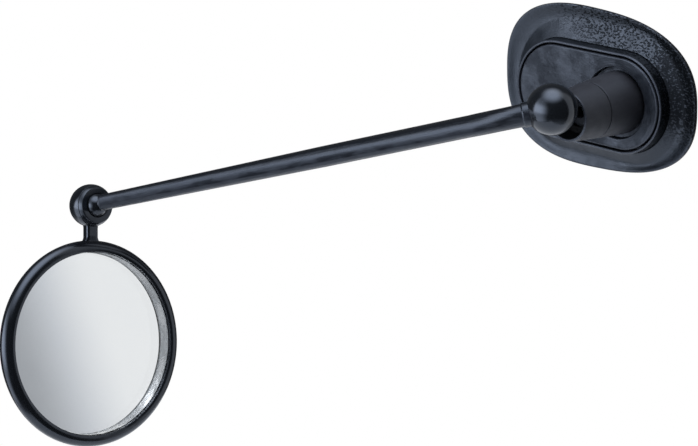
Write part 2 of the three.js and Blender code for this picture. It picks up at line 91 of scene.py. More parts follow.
# Pad and tape
TAPE_THICKNESS = 0.0006
TAPE_INSET = 0.0044
TAPE_BULGE_SHARE = 0.006
TAPE_FACE_SHARES = (0.2, 0.98)
PAD_LENGTH = 0.0606
PAD_HEIGHT = 0.041
PAD_SQUARENESS = 2.6
PAD_TAPER = 0.07
PAD_SLANT = -0.045
PAD_MIDDLE = (0.00035, 0.0012)
PAD_LIFT_INSET = 0.0045
PAD_EDGE = 0.0011
PAD_EDGE_ROUND = 0.00035
PAD_EDGE_POWER = 0.6
PAD_SIDE_LIFT = 0.0005
PAD_END_LIFT = 0.0004
PAD_LIFT_START_SHARE = 0.1
PAD_LIFT_LOW_SHARE = 0.4
PAD_SKIRT_POWER = 1.3
FLANGE_TOP = 0.0020
PAD_RISE = 0.0014
PAD_RISE_POWER = 1.1
PAD_RISE_WIDTH = 0.0030
PAD_RISE_SPREAD = 0.0026
PAD_SPREAD_POWER = 1.5
COLLAR_LIP = 0.0006
COLLAR_DRAFT = 0.0001
CREASE_WIDTH = 0.00025
CREASE_DEPTH = 0.0005
CREASE_SHARES = ((0.3, 0.5), (0.7, 1.0))
CREASE_FOOT_SHARE = 0.9
PLATE_GROOVE = 0.0005

# Plate
PLATE_EDGE_ROUND = 0.0004
PLATE_BORE = 0.0051
BORE_CHAMFER = 0.0002
RECESS_RADIUS = 0.0091
RECESS_DEPTH = 0.0018
RECESS_ROUND = 0.0003
RECESS_LIP = 0.00025
DISH_RISE = 0.00018
DISH_RADIUS = 0.0116
DISH_RIPPLE = 0.000008
DISH_RIPPLE_PITCH = 0.0006
CLIP_POCKET_RADIUS = 0.0076
PLATE_WEB = 0.0014
BEVEL_COSINE = 0.95
BEVEL_DEPTH = 0.0006

# Turret
JOURNAL_RADIUS = 0.005
SPIGOT_RADIUS = 0.005
CORE_RADIUS = 0.003
TURRET_FOOT_RADIUS = 0.00795
TURRET_MOUTH_RADIUS = 0.00625
TURRET_SEAM = 0.0166
TURRET_HEIGHT = 0.0254
TURRET_ROUND = 0.00015
TURRET_WAIST_ROUND = 0.002
SEAM_GAP = 0.0002
SPIGOT_TOP = 0.0188
TURRET_WALL = 0.00065
MOUTH_DEPTH = 0.0041
MOUTH_TAPER = 0.0009
MOUTH_ROUND = 0.00022
MOUTH_FLOOR_ROUND = 0.0004
MOUTH_EDGE_DEPTH = 0.0002
SHOULDER_THICKNESS = 0.0009
SHOULDER_HOLE = 0.0032
PEG_HOLE = 0.0019
PEG_ROOM = 0.0012

# Ball stud and the arm's ball end
STUD_FLANGE_RADIUS = 0.0047
STUD_FLANGE = (0.0189, 0.0201)
STUD_FLANGE_ROUND = 0.0002
STUD_PEG_RADIUS = 0.0018
STUD_PEG_END = 0.0155
STUD_PEG_ROUND = 0.0003
STUD_NECK_RADIUS = 0.0014
STUD_NECK_STEP = 0.0003
STUD_BALL_RADIUS = 0.0032
LINER_INNER = 0.0033
LINER_OUTER = 0.00405
LINER_MOUTH = 50
BALL_RADIUS = 0.0063
BALL_POCKET = 0.00415
BALL_MOUTH = 41
BALL_LIP = 48
BALL_EDGE_ANGLE = 2
BALL_EDGE_ROUND = 0.0002

# Arm, and its tip ball on a side neck
ARM_LENGTH = 0.1124
ARM_OUT = 43.82
ARM_DROP = 12.56
COLLAR_RADIUS = 0.00305
COLLAR_END = 0.0070
COLLAR_ROUND = 0.0002
COLLAR_STEP = 0.00025
ROOT_RADIUS = 0.00283
BLADE_RADIUS = 0.00245
BLADE_START = 0.020
BLADE_ROUND = 0.006
TAPER_ROUND = 0.3
MIDDLE_RADIUS = 0.00243
MIDDLE_SHARE = 0.5
NEEDLE_RADIUS = 0.00214
NEEDLE_SHARE = 0.8
TIP_RADIUS = 0.00193
END_ROUND = 0.00025
BLADE_BREADTH = 1.95
TIP_BREADTH = 1.12
TIP_BALL_RADIUS = 0.00295
NECK_RADIUS = 0.00135
NECK_START = 0.0017
NECK_FILLET = 0.0004
NECK_FILLET_ANGLE = 6
PARTING_HEIGHT = 0.00005
PARTING_WIDTH = 5

# Mirror head
HOUSING_RADIUS = 0.0053
HOUSING_OFFSET = 0.0022
HOUSING_FACE = 0.00077
HOUSING_END = 110
CAP_THICKNESS = 0.00095
CAP_SEAM = 0.0001
CAP_ROUND = 0.0001
CAP_EDGE_ROUND = 0.00018
CAP_SEAM_ROUND = 0.00008
SOCKET_RADIUS = 0.0030
SEAT_CAVITY = 0.00375
PLUG_BORE = 0.00195
PLUG_BACK = 0.00585
MIRROR_RADIUS = 0.0254
MIRROR_DROP = 0.034
RIM_RADIUS = 0.0021
RIM_LIP = 20
SHELL_ROUND = 0.0001
POCKET_ROUND = 0.0002
GLASS_GAP = 0.0001
GLASS_RECESS = 0.0009
GLASS_THICKNESS = 0.003
GLASS_CHAMFER = 0.00012
GLASS_TAPE_GAP = 0.0001
GLASS_TAPE = 0.0004
GLASS_TAPE_INSET = 0.0015
GLASS_TAPE_ROUND = 0.0001
SHELL_FLOOR = 0.001
SHELL_BACK_INSET = 0.0048
STEM_WIDTH = 0.0032
STEM_THICKNESS = 0.00215
STEM_FORWARD = -0.00017
STEM_SINK = 0.0012
STEM_SQUARENESS = 9
STEM_FOOT_WIDTH = 0.0039
STEM_FOOT_HEIGHT = 0.0005
STEM_FOOT_FLARE = 0.0006
STEM_FOOT_POWER = 2.5
STEM_FOOT_THINNING = 0.0002
STEM_TOP_HEIGHT = 0.0016
STEM_TOP_FLARE = 0.0008

# Places read from the frame
joints = {joint["name"]: joint for joint in frame["joints"]}
swivel_place = Vector(joints["turret_swivel"]["pos_m"])
ball_place = Vector(joints["arm_swing"]["pos_m"])
tip_place = Vector(joints["mirror_turn"]["pos_m"])
out, drop = math.radians(ARM_OUT), math.radians(ARM_DROP)
arm_line = -Vector((math.cos(drop) * math.cos(out), math.cos(drop) * math.sin(out), math.sin(drop)))
turret_x = swivel_place.x
plate_low, plate_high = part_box("base_plate")
plate_bottom = -plate_high.y
plate_top = -plate_low.y
plate_radius = (plate_high.z - plate_low.z) / 2
plate_straight = (plate_high.x - plate_low.x) / 2 - plate_radius
recess_floor = plate_top - RECESS_DEPTH
web_bottom = recess_floor - PLATE_WEB
turret_foot = recess_floor + SEAM_GAP
rim_middle = MIRROR_RADIUS - RIM_RADIUS
pocket_radius = rim_middle - RIM_RADIUS * math.sin(math.radians(RIM_LIP))
glass_radius = pocket_radius - GLASS_GAP
glass_front = RIM_RADIUS * math.cos(math.radians(RIM_LIP)) - GLASS_RECESS
glass_back = glass_front - GLASS_THICKNESS
tape_front = glass_back - GLASS_TAPE_GAP
floor_front = tape_front - GLASS_TAPE - GLASS_TAPE_GAP
shell_back = floor_front - SHELL_FLOOR


def frame_of(x_axis, z_hint, origin):
    """A local frame with X along x_axis and Z as near z_hint as it can be"""
    x = Vector(x_axis).normalized()
    y = Vector(z_hint).cross(x).normalized()
    z = x.cross(y)
    return Matrix.Translation(origin) @ Matrix((x, y, z)).transposed().to_4x4()


UP = Vector((0, 0, 1))
OUT = Vector((0, -1, 0))
stud_foot = Vector((turret_x, -sum(STUD_FLANGE) / 2, 0))
stud_line = (stud_foot - ball_place).normalized()
turret_frame = frame_of(OUT, UP, (turret_x, 0, 0))
stud_frame = frame_of(stud_line, UP, ball_place)
arm_frame = frame_of(arm_line, UP, ball_place)
head_frame = frame_of(joints["mirror_roll"]["axis"], joints["mirror_turn"]["axis"], tip_place)
mirror_frame = head_frame @ Matrix.Translation((-HOUSING_OFFSET, 0, -MIRROR_DROP))


def mixed(first, second, share):
    """A value between two by a share"""
    return first * (1 - share) + second * share


def shares(count):
    """Even steps from above zero to one"""
    return np.linspace(0, 1, count + 1)[1:]


def bend(end, count):
    """Angles in radians from above zero to an end"""
    return np.linspace(0, end, count + 1)[1:]


def smoothstep(value):
    value = np.clip(value, 0, 1)
    return value * value * (3 - 2 * value)


def arc(radius, start, end, steps, middle=(0, 0)):
    """Points (radius, along) of an arc, angles in degrees from the axis"""
    angles = np.radians(np.linspace(start, end, steps + 1))
    points = [(middle[0] + radius * math.sin(a), middle[1] + radius * math.cos(a)) for a in angles]
    return [(0 if abs(r) < TINY else r, x) for r, x in points]


def on_arc(radius, angle):
    """Point (radius, along) of a sphere at an angle in degrees from the axis"""
    return arc(radius, angle, angle, 1)[0]


def rounded(corners, closed=False):
    """A profile from corners (radius, along) or (radius, along, rounding), with long runs cut into rows"""
    result = []
    count = len(corners)
    for i, (r, x, *rounding) in enumerate(corners):
        inner = closed or 0 < i < count - 1
        if not rounding or not inner:
            result.append((r, x))
            continue
        here = Vector((r, x))
        before = Vector(corners[i - 1][:2]) - here
        after = Vector(corners[(i + 1) % count][:2]) - here
        reach = rounding[0] / math.tan(before.angle(after) / 2)
        reach = min(reach, before.length * CORNER_REACH_SHARE, after.length * CORNER_REACH_SHARE)
        start = here + before.normalized() * reach
        end = here + after.normalized() * reach
        for s in np.linspace(0, 1, CORNER_STEPS + 1):
            point = start * (1 - s) ** 2 + here * 2 * s * (1 - s) + end * s ** 2
            result.append((point.x, point.y))
    rows = [result[0]]
    for before, after in zip(result, result[1:] + (result[:1] if closed else [])):
        length = math.dist(before, after)
        parts = max(1, math.ceil(length / ROW_LENGTH))
        for s in shares(parts):
            rows.append((mixed(before[0], after[0], s), mixed(before[1], after[1], s)))
    return rows[:-1] if closed else rows


def joined(rows, closed):
    """Faces between neighbouring rows of point numbers; a row of one point closes a fan"""
    faces = []
    pairs = list(zip(rows, rows[1:]))
    if closed:
        pairs.append((rows[-1], rows[0]))
    for a, b in pairs:
        steps = max(len(a), len(b))
        for i in range(steps):
            j = (i + 1) % steps
            quad = [a[i % len(a)], a[j % len(a)], b[j % len(b)], b[i % len(b)]]
            faces.append(list(dict.fromkeys(quad)))
    return faces


def skin(rings, closed):
    """Points and faces over rings of points; a ring of one point closes a fan"""
    points = []
    rows = []
    for ring in rings:
        rows.append(list(range(len(points), len(points) + len(ring))))
        points.extend(ring)
    return points, joined(rows, closed)


def lathe(profile, steps, place, closed=False, swell=None):
    """Points and faces of a profile (radius, along) turned about the local X axis"""
    rings = []
    for radius, along in profile:
        row = []
        for i in range(1 if radius == 0 else steps):
            angle = 2 * math.pi * i / steps
            r = swell(angle, along, radius) if swell and radius else radius
            row.append(place @ Vector((along, r * math.cos(angle), r * math.sin(angle))))
        rings.append(row)
    return skin(rings, closed)


def mesh_of(name, points, faces, materials, choose=None):
    mesh = bpy.data.meshes.new(name)
    mesh.from_pydata([tuple(point) for point in points], [], faces)
    made = bmesh.new()
    made.from_mesh(mesh)
    bmesh.ops.remove_doubles(made, verts=made.verts, dist=MERGE_DISTANCE)
    bmesh.ops.recalc_face_normals(made, faces=made.faces)
    made.to_mesh(mesh)
    made.free()
    for material in materials:
        mesh.materials.append(material)
    if choose:
        for polygon in mesh.polygons:
            polygon.material_index = choose(polygon)
    return mesh


def smooth(mesh, angle=SHARP_ANGLE):
    mesh.shade_smooth()
    mesh.set_sharp_from_angle(angle=math.radians(angle))


def linked(name, mesh):
    """An object of a mesh, in the scene"""
    made = bpy.data.objects.new(name, mesh)
    bpy.context.scene.collection.objects.link(made)
    return made


def show(name, mesh, body, nodes):
    """Makes an object of a mesh, hangs it on the body it rides on and hides the nodes it stands for"""
    piece = linked(name, mesh)
    smooth(mesh)
    weights = piece.modifiers.new("weights", "WEIGHTED_NORMAL")
    weights.keep_sharp = True
    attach(piece, body)
    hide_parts(*nodes)
    return piece


def united(name, meshes):
    """One closed mesh from several that overlap"""
    first = linked(name, meshes[0])
    others = []
    for i, mesh in enumerate(meshes[1:]):
        other = linked(f"{name}_{i}", mesh)
        union = first.modifiers.new(f"union_{i}", "BOOLEAN")
        union.operation = "UNION"
        union.solver = "EXACT"
        union.object = other
        others.append(other)
    graph = bpy.context.evaluated_depsgraph_get()
    result = bpy.data.meshes.new_from_object(first.evaluated_get(graph), depsgraph=graph)
    result.name = name
    for made in [first, *others]:
        bpy.data.objects.remove(made)
    return result


NOISE_RANGE = (0.3, 0.7)


class Look:
    """A material: its shader, and the nodes that vary its surface in object coordinates"""

    def __init__(self, name, **sockets):
        self.material = bpy.data.materials.new(name)
        self.material.use_nodes = True
        self.tree = self.material.node_tree
        self.shader = self.tree.nodes["Principled BSDF"]
        self.place = self.add("ShaderNodeTexCoord").outputs["Object"]
        for socket, value in sockets.items():
            self.shader.inputs[socket.replace("_", " ")].default_value = value

    def add(self, kind, inputs=None, **settings):
        made = self.tree.nodes.new(kind)
        for key, value in settings.items():
            setattr(made, key, value)
        for socket, value in (inputs or {}).items():
            if isinstance(value, bpy.types.NodeSocket):
                self.tree.links.new(value, made.inputs[socket])
            else:
                made.inputs[socket].default_value = value
        return made

    def math(self, operation, *values):
        return self.add("ShaderNodeMath", dict(enumerate(values)), operation=operation).outputs[0]

    def parts(self, vector):
        """The X, Y and Z of a vector"""
        return self.add("ShaderNodeSeparateXYZ", {0: vector}).outputs

    def noise(self, cell, detail=3.0, stretch=None):
        """Soft noise whose cells have a size in metres, drawn out along an axis if stretch says so"""
        place = self.place
        if stretch:
            place = self.add("ShaderNodeMapping", {"Vector": place, "Scale": stretch}).outputs[0]
        inputs = {"Vector": place, "Scale": 1 / cell, "Detail": detail}
        return self.add("ShaderNodeTexNoise", inputs).outputs["Fac"]

    def cells(self, cell, wobble, drift_scale=0.7, border=0.22):
        """Cells with sunken borders"""
        drift = self.add("ShaderNodeTexNoise", {"Vector": self.place, "Scale": drift_scale / cell})
        amount = {0: drift.outputs["Color"], "Scale": wobble * cell}
        shift = self.add("ShaderNodeVectorMath", amount, operation="SCALE").outputs[0]
        moved = self.add("ShaderNodeVectorMath", {0: self.place, 1: shift}).outputs[0]
        inputs = {"Vector": moved, "Scale": 1 / cell}
        borders = self.add("ShaderNodeTexVoronoi", inputs, feature="DISTANCE_TO_EDGE").outputs["Distance"]
        return self.ramp(borders, 0.0, border, 0.0, 1.0)

    def ramp(self, value, start, end, low, high):
        """A smooth step of a value from low to high"""
        inputs = {"Value": value, "From Min": start, "From Max": end, "To Min": low, "To Max": high}
        return self.add("ShaderNodeMapRange", inputs, interpolation_type="SMOOTHSTEP").outputs["Result"]

    def between(self, value, low, high):
        """A colour from low to high as a value rises from 0 to 1"""
        inputs = {"Factor": value, "A": (*low, 1), "B": (*high, 1)}
        return self.add("ShaderNodeMix", inputs, data_type="RGBA").outputs["Result"]

    def feed(self, value, socket):
        """Links a value to a socket of the shader"""
        self.tree.links.new(value, self.shader.inputs[socket])

    def colours(self, value, low, high):
        """Base colour from low to high as a value rises from 0 to 1"""
        self.feed(self.between(value, low, high), "Base Color")

    def roughness(self, value, low, high, over=NOISE_RANGE):
        """Roughness from low to high as a value rises over a range"""
        self.feed(self.ramp(value, *over, low, high), "Roughness")

    def bumps(self, *layers):
        """Bump layers (height, depth in metres), one on another"""
        normal = None
        for height, depth in layers:
            inputs = {"Height": height, "Distance": depth, "Strength": 1.0}
            if normal:
                inputs["Normal"] = normal
            normal = self.add("ShaderNodeBump", inputs).outputs["Normal"]
        self.feed(normal, "Normal")


# Cool tint of what the black plastics reflect, and how the border of the pad's pits leans
TINT = (0.72, 0.82, 1.0, 1.0)
PIT_SLOPE = 0.7


def pad_look():
    """Soft rubber: smooth low down, pitted towards its upper turret end and nearly all pits at that end;
    the pits are coloured darker as painted shade in them
    """
    look = Look("pad_skin", Specular_Tint=TINT, Specular_IOR_Level=0.4)
    across = look.parts(look.place)
    lean = look.math("MULTIPLY_ADD", across["X"], PIT_SLOPE, across["Z"])
    pitted = look.ramp(lean, start=0.002, end=0.018, low=0.08, high=0.9)
    far = look.ramp(across["X"], start=0.015, end=0.023, low=0.0, high=-0.15)
    high = look.ramp(across["Z"], start=-0.009, end=-0.001, low=0.0, high=1.0)
    grains = look.noise(cell=0.00045, detail=2.0, stretch=(0.6, 1.0, 1.0))
    grains = look.math("MULTIPLY_ADD", far, high, grains)
    pits = look.ramp(grains, start=0.37, end=0.53, low=1.0, high=0.0)
    sunken = look.math("MULTIPLY", pits, pitted)
    # Painted shade: the pits are darker than the rubber round them
    look.colours(sunken, low=(0.007, 0.009, 0.012), high=(0.002, 0.0025, 0.003))
    look.roughness(look.noise(cell=0.003), low=0.30, high=0.42)
    look.feed(look.ramp(sunken, start=0.0, end=1.0, low=0.55, high=0.10), "Specular IOR Level")
    soft = look.noise(cell=0.006, detail=1.0)
    look.bumps((sunken, -0.00006), (look.noise(cell=0.0004), 0.00004), (soft, 0.0002))
    return look.material


def plate_look():
    """Hard plastic with duller and glossier patches"""
    look = Look("plate_skin", Specular_Tint=TINT, Specular_IOR_Level=0.43)
    patches = look.noise(cell=0.006, detail=5.0)
    look.colours(patches, low=(0.003, 0.004, 0.006), high=(0.012, 0.014, 0.019))
    look.roughness(look.noise(cell=0.004, detail=4.0), low=0.28, high=0.42)
    handled = look.ramp(look.noise(cell=0.0045, detail=6.0), start=0.36, end=0.64, low=0.26, high=0.60)
    look.feed(handled, "Specular IOR Level")
    look.bumps((look.noise(cell=0.00022, detail=2.0), 0.000025), (patches, 0.00040))
    return look.material


def rod_look():
    """Black with fine lines along the arm, smooth on top; below the top its colour is painted lighter and
    mottled, a painted sheen of light on its flanks
    """
    look = Look("rod_skin", Specular_Tint=TINT)
    inputs = {"Vector": look.place, "Rotation": arm_frame.to_euler()}
    turned = look.add("ShaderNodeVectorRotate", inputs, rotation_type="EULER_XYZ", invert=True)
    look.place = turned.outputs[0]
    axis_height = (arm_frame.to_3x3().inverted() @ ball_place).z
    start, end = axis_height + 0.0010, axis_height + 0.0019
    # Painted light: below a line just above the arm's axis the colour turns lighter, standing in for light
    # on its flanks
    painted_side_light = look.ramp(look.parts(look.place)["Z"], start, end, low=1.0, high=0.0)
    patches = look.noise(cell=0.0020, detail=6.0, stretch=(0.4, 1.0, 1.0))
    patches = look.ramp(patches, start=0.40, end=0.62, low=0.35, high=1.0)
    mottled_painted_light = look.math("MULTIPLY", painted_side_light, patches)
    lines = look.noise(cell=0.0009, detail=4.0, stretch=(0.03, 1.0, 1.0))
    look.colours(mottled_painted_light, low=(0.003, 0.004, 0.006), high=(0.030, 0.034, 0.043))
    look.roughness(mottled_painted_light, low=0.24, high=0.38, over=(0.0, 1.0))
    mottles = look.noise(cell=0.0012, detail=5.0, stretch=(0.4, 1.0, 1.0))
    look.bumps((lines, 0.00010), (mottles, 0.00008))
    return look.material


def turret_look():
    """Matt charcoal with faint streaks along the turret"""
    look = Look("turret_skin", Specular_Tint=TINT)
    streaks = look.noise(cell=0.0012, stretch=(1.0, 0.15, 1.0))
    look.colours(streaks, low=(0.014, 0.014, 0.017), high=(0.024, 0.024, 0.028))
    look.roughness(look.noise(cell=0.003, detail=4.0), low=0.44, high=0.58)
    look.bumps((look.noise(cell=0.0002, detail=2.0), 0.00002), (streaks, 0.00003))
    return look.material


def foam_look():
    look = Look("foam_skin")
    look.colours(look.noise(cell=0.0006), low=(0.022, 0.022, 0.024), high=(0.040, 0.040, 0.042))
    look.roughness(look.noise(cell=0.0005), low=0.85, high=1.0)
    look.bumps((look.cells(cell=0.0004, wobble=0.6), 0.00008), (look.noise(cell=0.002), 0.00006))
    return look.material


def steel_look():
    look = Look("steel_skin", Metallic=1.0)
    brush = look.noise(cell=0.0004, stretch=(1.0, 6.0, 0.2))
    look.colours(brush, low=(0.50, 0.51, 0.53), high=(0.60, 0.61, 0.63))
    look.roughness(brush, low=0.22, high=0.38)
    look.bumps((brush, 0.000004))
    return look.material


def glass_look():
    look = Look("glass_skin", IOR=1.52, Transmission_Weight=1.0, Roughness=0.0)
    look.colours(look.noise(cell=0.01), low=(0.975, 0.985, 0.985), high=(0.985, 0.992, 0.99))
    return look.material


def glass_edge_look():
    """Ground edge: clear and frosted streaks"""
    look = Look("glass_edge_skin", IOR=1.52)
    look.colours(look.noise(cell=0.002), low=(0.80, 0.86, 0.88), high=(0.93, 0.96, 0.97))
    clear = look.ramp(look.noise(cell=0.0035, detail=5.0), start=0.42, end=0.58, low=0.95, high=0.25)
    look.feed(clear, "Transmission Weight")
    look.roughness(look.noise(cell=0.0015, detail=4.0), low=0.04, high=0.25, over=(0.35, 0.65))
    look.bumps((look.noise(cell=0.0008), 0.00006), (look.noise(cell=0.004, detail=1.0), 0.00012))
    return look.material


def plain_look(name, cell, low, high, rough_cell, rough, bumps=(), rough_detail=3.0, **sockets):
    """Soft patches of two colours and two roughnesses, with bumps (cell, detail, depth)"""
    look = Look(name, **sockets)
    look.colours(look.noise(cell), low, high)
    look.roughness(look.noise(rough_cell, rough_detail), *rough)
    if bumps:
        look.bumps(*((look.noise(bump, detail), depth) for bump, detail, depth in bumps))
    return look.material


pad_skin = pad_look()
plate_skin = plate_look()
turret_skin = turret_look()
gloss_skin = plain_look(
    "gloss_skin", cell=0.009, low=(0.004, 0.005, 0.006), high=(0.008, 0.009, 0.011),
    rough_cell=0.004, rough_detail=4.0, rough=(0.11, 0.20),
    bumps=[(0.004, 1.0, 0.00003), (0.0004, 2.0, 0.000003)], Specular_Tint=TINT, Specular_IOR_Level=0.65,
)
# Painted highlight: a lighter, glossier colour for the pad's bead, the plate's edges and the turret's mouth
# edge
edge_highlight_paint = plain_look(
    "edge_highlight_paint", cell=0.0015, low=(0.020, 0.023, 0.030), high=(0.045, 0.050, 0.062),
    rough_cell=0.0015, rough=(0.30, 0.22), bumps=[(0.0004, 2.0, 0.00002)], Specular_Tint=TINT,
)
rod_skin = rod_look()
# Painted shade: a darker, duller colour for the inside of the turret's mouth
cavity_shade_paint = plain_look(
    "cavity_shade_paint", cell=0.002, low=(0.002, 0.0025, 0.003), high=(0.004, 0.0045, 0.005),
    rough_cell=0.001, rough=(0.6, 0.8), bumps=[(0.0003, 3.0, 0.00001)], Specular_IOR_Level=0.12,
)
foam_skin = foam_look()
nylon_skin = plain_look(
    "nylon_skin", cell=0.004, low=(0.005, 0.005, 0.006), high=(0.009, 0.009, 0.010),
    rough_cell=0.002, rough=(0.40, 0.55), bumps=[(0.0005, 3.0, 0.00001)],
    Specular_Tint=TINT, Specular_IOR_Level=0.25,
)
rubber_skin = plain_look(
    "rubber_skin", cell=0.003, low=(0.015, 0.015, 0.016), high=(0.024, 0.024, 0.025),
    rough_cell=0.002, rough=(0.65, 0.8), bumps=[(0.0004, 3.0, 0.00002)],
)
steel_skin = steel_look()
glass_skin = glass_look()
glass_edge_skin = glass_edge_look()
silver_skin = plain_look(
    "silver_skin", cell=0.012, low=(0.90, 0.92, 0.94), high=(0.93, 0.945, 0.96),
    rough_cell=0.006, rough=(0.012, 0.03), Metallic=1.0,
)

angles = np.linspace(0, 2 * math.pi, SKIN_STEPS, endpoint=False)
cosines = np.cos(angles)
sines = np.sin(angles)


def oval(inset, middle=PAD_MIDDLE):
    """Radius of the pad's outline at each angle round the plate's middle"""
    turn = np.linspace(-math.pi, math.pi, OUTLINE_STEPS, endpoint=False)
    power = 2 / PAD_SQUARENESS
    along = np.sign(np.cos(turn)) * np.abs(np.cos(turn)) ** power
    across = np.sign(np.sin(turn)) * np.abs(np.sin(turn)) ** power * (1 - PAD_TAPER * along)
    across = across * (PAD_HEIGHT / 2 - inset)
    x = middle[0] + along * (PAD_LENGTH / 2 - inset) + PAD_SLANT * across
    z = middle[1] + across
    bearing = np.arctan2(z, x)
    order = np.argsort(bearing)
    return np.interp(angles, bearing[order], np.hypot(x, z)[order], period=2 * math.pi)


def stadium(growth, middle=0.0):
    """Radius of the plate's outline, grown, at each angle round a point on its long axis"""
    radius = plate_radius + growth
    sine = np.maximum(np.abs(sines), TINY)
    flat = radius / sine
    on_flat = np.abs(middle + flat * cosines) <= plate_straight
    offset = middle - np.sign(cosines) * plate_straight
    inside = np.maximum(radius ** 2 - (sines * offset) ** 2, 0)
    end = -cosines * offset + np.sqrt(inside)
    return np.where(on_flat, flat, end)


def ring(radius, height, middle=0.0):
    """Points round a middle on the long axis, at a height out from the sticky back"""
    radius = np.broadcast_to(radius, angles.shape)
    height = np.broadcast_to(height, angles.shape)
    x = middle + radius * cosines
    return [Vector((a, -h, b)) for a, h, b in zip(x, height, radius * sines)]


def flexible_pad():
    """Oval flange, lifted at its edge, that rises to a collar round the plate"""
    lip_inside = stadium(PLATE_GROOVE)
    lip_outside = stadium(PLATE_GROOVE + COLLAR_LIP)
    lip_middle = (lip_inside + lip_outside) / 2
    wall_foot = stadium(PLATE_GROOVE + COLLAR_LIP + COLLAR_DRAFT)
    rise_growth = PLATE_GROOVE + COLLAR_LIP + COLLAR_DRAFT + CREASE_WIDTH
    rise_width = PAD_RISE_WIDTH + PAD_RISE_SPREAD * np.clip(sines, 0, 1) ** PAD_SPREAD_POWER
    rise_foot = stadium(rise_growth + rise_width)
    soft_edge = oval(PAD_EDGE_ROUND)
    edge = oval(0)
    back = TAPE_THICKNESS
    lift = PAD_SIDE_LIFT + PAD_END_LIFT * cosines ** 2
    edge_bottom = FLANGE_TOP + lift - PAD_EDGE
    rings = [[Vector((0, -back, 0))]]
    lift_line = oval(PAD_LIFT_INSET)
    for s in shares(PAD_ROWS["back"]):
        rings.append(ring(lift_line * s, back))
    for s in shares(PAD_ROWS["skirt"]):
        height = back + (edge_bottom - back) * s ** PAD_SKIRT_POWER
        rings.append(ring(mixed(lift_line, soft_edge, s), height))
    for turn in bend(math.pi, PAD_ROWS["edge"])[:-1]:
        radius = soft_edge + (edge - soft_edge) * math.sin(turn) ** PAD_EDGE_POWER
        rings.append(ring(radius, edge_bottom + PAD_EDGE * (1 - math.cos(turn)) / 2))
    for s in np.linspace(1, 0, PAD_ROWS["flange"]):
        rise = lift * smoothstep((s - PAD_LIFT_START_SHARE) / (1 - PAD_LIFT_START_SHARE))
        rise = rise * mixed(PAD_LIFT_LOW_SHARE, 1, s)
        rings.append(ring(mixed(rise_foot, soft_edge, s), FLANGE_TOP + rise))
    for s in shares(PAD_ROWS["rise"]):
        outline = stadium(rise_growth + rise_width * (1 - s))
        rings.append(ring(outline, FLANGE_TOP + PAD_RISE * s ** PAD_RISE_POWER))
    rise_top = FLANGE_TOP + PAD_RISE
    for width_share, depth_share in CREASE_SHARES:
        outline = stadium(rise_growth - CREASE_WIDTH * width_share)
        rings.append(ring(outline, rise_top - CREASE_DEPTH * depth_share))
    rings.append(ring(wall_foot, rise_top - CREASE_DEPTH * CREASE_FOOT_SHARE))
    bead = COLLAR_LIP / 2
    wall_top = plate_top - bead
    for s in np.linspace(0, 1, PAD_ROWS["wall"]):
        height = mixed(rise_top - CREASE_DEPTH / 2, wall_top, s)
        rings.append(ring(mixed(wall_foot, lip_outside, s), height))
    for turn in bend(math.pi, PAD_ROWS["bead"])[:-1]:
        radius = lip_middle + (lip_outside - lip_middle) * math.cos(turn)
        rings.append(ring(radius, wall_top + bead * math.sin(turn)))
    for s in np.linspace(0, 1, PAD_ROWS["wall"]):
        rings.append(ring(lip_inside, mixed(wall_top, plate_bottom, s)))
    for s in shares(PAD_ROWS["seat"])[-2::-1]:
        rings.append(ring(lip_inside * s, plate_bottom))
    rings.append([Vector((0, -plate_bottom, 0))])
    points, faces = skin(rings, False)

    def choose(polygon):
        # The bead's faces take the painted edge highlight
        return 1 if wall_top < -polygon.center.y < plate_top + bead else 0

    mesh = mesh_of("pad", points, faces, [pad_skin, edge_highlight_paint], choose)
    show("pad", mesh, "base", ["flexible_pad"])


def foam_tape():
    inner, outer = TAPE_FACE_SHARES
    outline = oval(TAPE_INSET, (0, 0))
    rings = [[Vector((0, 0, 0))]]
    for s in np.linspace(inner, outer, TAPE_ROWS["face"]):
        rings.append(ring(outline * s, 0))
    for s in np.linspace(0, 1, TAPE_ROWS["side"]):
        bulge = 1 - TAPE_BULGE_SHARE * (2 * s - 1) ** 2
        rings.append(ring(outline * bulge, TAPE_THICKNESS * s))
    for s in np.linspace(outer, inner, TAPE_ROWS["face"]):
        rings.append(ring(outline * s, TAPE_THICKNESS))
    rings.append([Vector((0, -TAPE_THICKNESS, 0))])
    points, faces = skin(rings, False)
    mesh = mesh_of("adhesive_foam", points, faces, [foam_skin])
    tape = show("adhesive_foam", mesh, "base", ["foam_tape"])


def sunk(radius):
    """Depth of the plate's dish, with fine ripples, at a radius about the turret's axis"""
    share = np.clip((DISH_RADIUS - radius) / (DISH_RADIUS - RECESS_RADIUS), 0, 1)
    return DISH_RISE * share - DISH_RIPPLE * share * np.sin(radius * 2 * math.pi / DISH_RIPPLE_PITCH)


